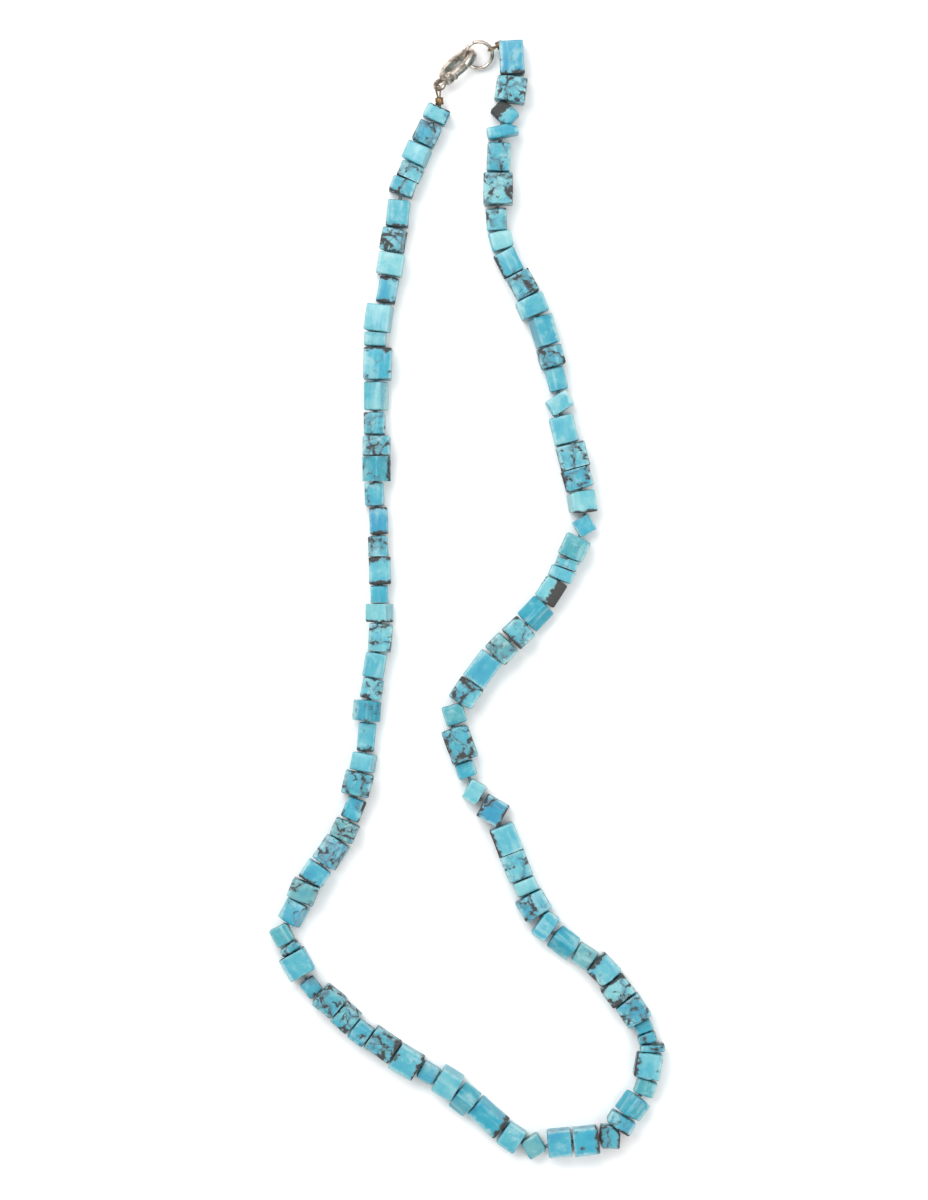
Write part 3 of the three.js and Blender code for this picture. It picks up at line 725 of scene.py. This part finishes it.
def model_stone(settings, route, number, row, planes):
    """One worn block of turquoise, cut square to its neighbours, with its look written on it."""
    sizes, look, start, end = row
    wide, lean, roll, turn = sizes[2:6]
    own = sizes[6] / 100 if len(sizes) > 6 else 1
    roll, turn = math.radians(roll), math.radians(turn)
    between = 0 < number < len(LEFT_STONES) + len(RIGHT_STONES) - 1
    long = (end - start) * route.length * own + (STONE_CLOSE if between else -STONE_CLOSE)
    seen = wide / 100 * STONE_WIDE
    side = (seen + 2 * STONE_CUT * math.sin(roll)) / (math.cos(roll) + math.sin(roll))
    point, along = route.at((start + end) / 2)
    inner = UP.cross(along)
    stand = Matrix((inner, UP, along)).transposed().to_4x4()
    turned = stand @ Matrix.Rotation(turn, 4, "Y") @ Matrix.Rotation(roll, 4, "Z")

    bpy.ops.object.select_all(action="DESELECT")
    bpy.ops.mesh.primitive_cube_add(size=1, scale=(side, side, long))
    piece = bpy.context.object
    settled(piece)
    room = 1 - 2 * settings.uneven / side
    bpy.ops.object.mode_set(mode="EDIT")
    bpy.ops.mesh.select_all(action="SELECT")
    bpy.ops.transform.resize(value=(room, room, room))
    bpy.ops.transform.vertex_random(offset=settings.uneven, seed=number)
    bpy.ops.object.mode_set(mode="OBJECT")
    piece.data.transform(turned)
    place = point + inner * (-lean / 100 * STONE_WIDE)
    piece.data.transform(Matrix.Translation(place))
    for plane_point, heading, outer in planes:
        cut_away(piece, plane_point, heading, outer)
    worn = min(settings.round, long / 3.2)
    bevelled(piece, worn, 3, STONE_SHARP)
    modify(piece, "SUBSURF", subdivision_type="SIMPLE", levels=2, render_levels=2)
    low = min(v.co.z for v in piece.data.vertices)
    piece.data.transform(Matrix.Translation((0, 0, -low)))

    rise = side / 2 * (math.cos(roll) + math.sin(roll))
    back = (Matrix.Translation(place + UP * rise) @ turned).inverted()
    inward = stand @ Matrix.Rotation(turn, 4, "Y") @ Vector((2 / seen, 0, 0))
    local, seen_side = [], []
    for v in piece.data.vertices:
        spot = back @ v.co
        local += [spot.x / side * 2, spot.y / side * 2, spot.z / long * 2]
        seen_side.append((v.co - place).dot(inward))
    count = len(seen_side)
    fill(piece, "stone_place", "FLOAT_VECTOR", local)
    fill(piece, "stone_side", "FLOAT", seen_side)
    fill(piece, "stone_tone", "FLOAT_COLOR", [*TONES[look[0]], 1.0] * count)
    fill(piece, "stone_veins", "FLOAT", [int(look[1]) / 3] * count)
    fill(piece, "stone_seed", "FLOAT", [float(number)] * count)
    for kind in MARKS:
        fill(piece, "stone_" + kind, "FLOAT_COLOR", marked(look, kind) * count)
    return piece


def joint_plane(route, rows, number, outer):
    """The plane that keeps a stone clear of the neighbour before or after it, if it has one."""
    first, second = (number, number + 1) if outer else (number - 1, number)
    if first < 0 or second == len(rows):
        return []
    gap = STRAND_GAP if second == len(LEFT_STONES) else STONE_TOUCH
    point, heading = route.at((rows[first][3] + rows[second][2]) / 2)
    return [(point + heading * (-gap if outer else gap) / 2, heading, outer)]


def model_strand(settings, name, first, last):
    """The stones of one half of the strand, joined, with shallow dents in their faces."""
    route, rows = Route(), placed_rows()
    stones = []
    for number in range(first, last):
        planes = (joint_plane(route, rows, number, False)
                  + joint_plane(route, rows, number, True))
        stones.append(model_stone(settings, route, number, rows[number], planes))
    piece = joined(stones, name)
    for scale, share in DENTS:
        texture = bpy.data.textures.new("dents", "CLOUDS")
        texture.noise_scale = scale
        texture.noise_depth = 1
        modify(piece, "DISPLACE", texture=texture, texture_coords="LOCAL", mid_level=1,
               strength=settings.dents * share)
    return piece


def model_thread(name, first, last, crimp):
    """The thread through the stones of one half and into its crimp, as a smooth tube."""
    route, rows = Route(), placed_rows()
    points = []
    for sizes, _, start, end in rows[first:last]:
        for share in (start, (start + end) / 2, end):
            point, along = route.at(min(max(share, THREAD_IN), 1 - THREAD_IN))
            lean = UP.cross(along) * (-sizes[3] / 100 * STONE_WIDE)
            points.append(point + lean * THREAD_LEAN + UP * sizes[2] / 200 * STONE_WIDE)
    points = [crimp, *points] if first == 0 else [*points, crimp]
    bpy.ops.object.select_all(action="DESELECT")
    bpy.ops.curve.primitive_bezier_curve_add()
    piece = bpy.context.object
    piece.name = name
    piece.data.splines.clear()
    spline = piece.data.splines.new("POLY")
    spline.points.add(len(points) - 1)
    for spot, point in zip(spline.points, points):
        spot.co = (*point, 1)
    piece.data.bevel_depth = THREAD_R
    piece.data.bevel_resolution = 2
    piece.data.use_fill_caps = True
    only(piece)
    bpy.ops.object.convert(target="MESH")
    piece = bpy.context.object
    settled(piece)
    return piece


class NECKLACE_OT_stones(bpy.types.Operator):
    """Models the stones of both halves of the strand"""
    bl_idname = "necklace.stones"
    bl_label = "Stones"

    def execute(self, context):
        settings = context.scene.necklace_stones
        stone = turquoise(settings)
        for side, first, end in HALVES:
            piece = model_strand(settings, "stones_" + side, first, end)
            finished(piece, stone, "necklace", "turquoise_stone", "bead_string_" + side,
                     angle=50)
        return {"FINISHED"}


class NECKLACE_OT_thread(bpy.types.Operator):
    """Models the thread that runs through the stones"""
    bl_idname = "necklace.thread"
    bl_label = "Thread"

    def execute(self, context):
        finish = thread_finish(context.scene.necklace_metal)
        for side, first, end in HALVES:
            low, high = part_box("crimp_" + side)
            crimp = (Vector(low) + Vector(high)) / 2
            piece = model_thread("thread_" + side, first, end, crimp)
            finished(piece, finish, "necklace", "beading_wire", "bead_string_" + side)
        return {"FINISHED"}


class NECKLACE_OT_clasp(bpy.types.Operator):
    """Rounds the clasp's hook, its lever and its rivet"""
    bl_idname = "necklace.clasp"
    bl_label = "Clasp"

    def execute(self, context):
        settings = context.scene.necklace_metal
        finish = metal("clasp_silver", settings.silver, settings.painted_reflection_brown, 0.22, 0.75)
        for node, name, body in (("clasp_body", "clasp_hook", "necklace"),
                                 ("clasp_lever", "clasp_thumb_lever", "clasp_lever"),
                                 ("clasp_pin", "clasp_rivet", "necklace")):
            piece = merged_copy(node, name)
            bevelled(piece, settings.edge, 2, METAL_SHARP)
            finished(piece, finish, body, "clasp_metal", node, angle=50)
        return {"FINISHED"}


class NECKLACE_OT_ring(bpy.types.Operator):
    """Smooths the jump ring, the wire loops and the crimps"""
    bl_idname = "necklace.ring"
    bl_label = "Ring, loops and crimps"

    def execute(self, context):
        settings = context.scene.necklace_metal
        silver = metal("ring_silver", settings.silver, settings.painted_reflection_brown, 0.22, 0.8)
        bronze = metal("crimp_bronze", settings.bronze, settings.painted_reflection_brown, 0.3, 0.8)
        for node, name, finish, slot, swell in (
                ("jump_ring", "jump_ring_wire", silver, "clasp_metal", RING_SWELL),
                ("wire_loop_left", "eye_loop", bronze, "beading_wire", LOOP_SWELL),
                ("wire_loop_right", "ring_loop", bronze, "beading_wire", LOOP_SWELL),
                ("crimp_left", "eye_crimp", bronze, "crimp_metal", 0),
                ("crimp_right", "ring_crimp", bronze, "crimp_metal", 0)):
            piece = merged_copy(node, name)
            if swell:
                round_wire(piece, swell)
            else:
                bevelled(piece, settings.edge, 2, METAL_SHARP)
            finished(piece, finish, "necklace", slot, node, angle=65)
        return {"FINISHED"}


class NECKLACE_OT_stage(bpy.types.Operator):
    """Sets the pale floor, the soft lights and the camera above the necklace"""
    bl_idname = "necklace.stage"
    bl_label = "Stage"

    def execute(self, context):
        settings = context.scene.necklace_stage
        bpy.ops.object.select_all(action="DESELECT")
        bpy.ops.mesh.primitive_plane_add(size=6)
        floor = context.object
        floor.name = "floor"
        floor.data.materials.append(floor_finish(settings))

        for name, place, size, power in LIGHTS:
            bpy.ops.object.light_add(type="AREA", location=place)
            light = context.object
            light.name = name
            light.data.size = size
            light.data.energy = power
            light.rotation_euler = (-Vector(place)).to_track_quat("-Z", "Y").to_euler()

        world = bpy.data.worlds.new("soft_box")
        world.use_nodes = True
        nodes, links = world.node_tree.nodes, world.node_tree.links
        height = nodes.new("ShaderNodeSeparateXYZ")
        links.new(nodes.new("ShaderNodeTexCoord").outputs["Generated"], height.inputs[0])
        soft = nodes.new("ShaderNodeMapRange")
        soft.interpolation_type = "SMOOTHSTEP"
        links.new(height.outputs["Z"], soft.inputs["Value"])
        for name, value in SKY:
            soft.inputs[name].default_value = value
        links.new(soft.outputs["Result"], nodes["Background"].inputs["Strength"])
        nodes["Background"].inputs["Color"].default_value = (1, 1, 1, 1)
        context.scene.world = world
        context.scene.view_settings.view_transform = "Standard"

        bpy.ops.object.camera_add(
            location=(*VIEW_MIDDLE, settings.height + STONE_WIDE / 2), rotation=(0, 0, 0))
        camera = context.object
        camera.name = "camera"
        camera.data.sensor_fit = "VERTICAL"
        camera.data.sensor_height = FILM
        camera.data.lens = FILM * settings.height / settings.view
        camera.data.clip_start = 0.01
        context.scene.camera = camera
        return {"FINISHED"}


class NECKLACE_PT_panel(bpy.types.Panel):
    """Sizes, colours and steps of the necklace"""
    bl_idname = "NECKLACE_PT_panel"
    bl_label = "Turquoise necklace"
    bl_space_type = "VIEW_3D"
    bl_region_type = "UI"
    bl_category = "Necklace"

    def draw(self, context):
        for group, operators in STEPS.items():
            box = self.layout.box()
            settings = getattr(context.scene, group)
            for name in settings.bl_rna.properties.keys():
                if name not in {"rna_type", "name"}:
                    box.prop(settings, name)
            for operator in operators:
                box.operator(operator.bl_idname)


GROUPS = {"necklace_stones": StoneSettings, "necklace_metal": MetalSettings,
          "necklace_stage": StageSettings}
STEPS = {
    "necklace_stones": (NECKLACE_OT_stones,),
    "necklace_metal": (NECKLACE_OT_thread, NECKLACE_OT_clasp, NECKLACE_OT_ring),
    "necklace_stage": (NECKLACE_OT_stage,),
}
OPERATORS = [operator for operators in STEPS.values() for operator in operators]


def register():
    for group in GROUPS.values():
        bpy.utils.register_class(group)
    for operator in [*OPERATORS, NECKLACE_PT_panel]:
        bpy.utils.register_class(operator)
    for name, group in GROUPS.items():
        setattr(bpy.types.Scene, name, PointerProperty(type=group))


def unregister():
    for name in GROUPS:
        delattr(bpy.types.Scene, name)
    for part in [NECKLACE_PT_panel, *reversed(OPERATORS), *GROUPS.values()]:
        bpy.utils.unregister_class(part)


def main():
    register()
    bpy.ops.necklace.stage()
    bpy.ops.necklace.stones()
    bpy.ops.necklace.thread()
    bpy.ops.necklace.clasp()
    bpy.ops.necklace.ring()


if __name__ == "__main__":
    main()
